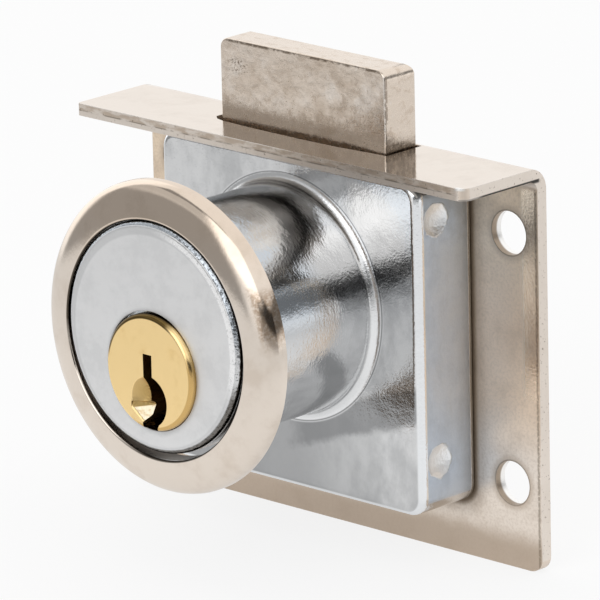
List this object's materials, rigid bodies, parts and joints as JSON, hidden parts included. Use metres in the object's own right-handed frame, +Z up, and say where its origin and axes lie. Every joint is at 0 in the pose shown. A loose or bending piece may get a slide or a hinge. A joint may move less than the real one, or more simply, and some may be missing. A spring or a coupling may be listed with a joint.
{
  "type": "drawer deadbolt lock",
  "caption": "Deadbolt lock for a drawer front: flanged steel plate, cast case with a round barrel, brass key plug, sliding bolt and loose rosette ring.",
  "frame": {"origin": "where the barrel's axis crosses the plane of the plate's front face, the face that seats on the inside of the drawer front", "axes": "+Z up, the way the bolt is thrown; the key enters along +Y, so the barrel points along -Y; +X to the right as seen from the key side"},
  "size_m": [0.0498, 0.0281, 0.0469],
  "materials": {
    "plate_nickel": "nickel plate on stamped steel, worn satin gloss",
    "case_chrome": "chrome plate on a zinc casting, slightly rippled; barrel face satin",
    "bolt_nickel": "nickel plate on a cast block, pitted",
    "plug_brass": "fine turned brass",
    "cam_steel": "turned steel",
    "screw_steel": "bright steel",
    "pin_brass": "turned brass",
    "spring_steel": "drawn wire",
    "cap_chrome": "chrome plate",
    "ring_nickel": "nickel plate on pressed sheet, bright"
  },
  "bodies": {
    "lock_body": {"mounting_plate": "plate_nickel", "lock_case": "case_chrome", "driver_pin_1": "pin_brass", "driver_pin_2": "pin_brass", "driver_pin_3": "pin_brass", "driver_pin_4": "pin_brass", "driver_pin_5": "pin_brass", "pin_spring_1": "spring_steel", "pin_spring_2": "spring_steel", "pin_spring_3": "spring_steel", "pin_spring_4": "spring_steel", "pin_spring_5": "spring_steel", "chamber_cap_1": "cap_chrome", "chamber_cap_2": "cap_chrome", "chamber_cap_3": "cap_chrome", "chamber_cap_4": "cap_chrome", "chamber_cap_5": "cap_chrome"},
    "plug_assembly": {"key_plug": "plug_brass", "drive_cam": "cam_steel", "cam_screw": "screw_steel", "key_pin_1": "pin_brass", "key_pin_2": "pin_brass", "key_pin_3": "pin_brass", "key_pin_4": "pin_brass", "key_pin_5": "pin_brass"},
    "bolt": {"deadbolt": "bolt_nickel"},
    "rosette": {"rosette_ring": "ring_nickel"}
  },
  "joints": [
    {"name": "plug_turn", "type": "hinge", "parent": "lock_body", "child": "plug_assembly", "pos_m": [0, 0, -0.0032], "axis": [0, 1, 0], "range_deg": [0, 180]},
    {"name": "bolt_slide", "type": "slide", "parent": "lock_body", "child": "bolt", "axis": [0, 0, 1], "range_m": [-0.008, 0]},
    {"name": "ring_slide", "type": "slide", "parent": "lock_body", "child": "rosette", "axis": [0, -1, 0], "range_m": [-0.0127, 0.01]}
  ],
  "couplings": [
    {"joint": "plug_turn", "follows": "bolt_slide", "rad_per_m": -392.69}
  ]
}
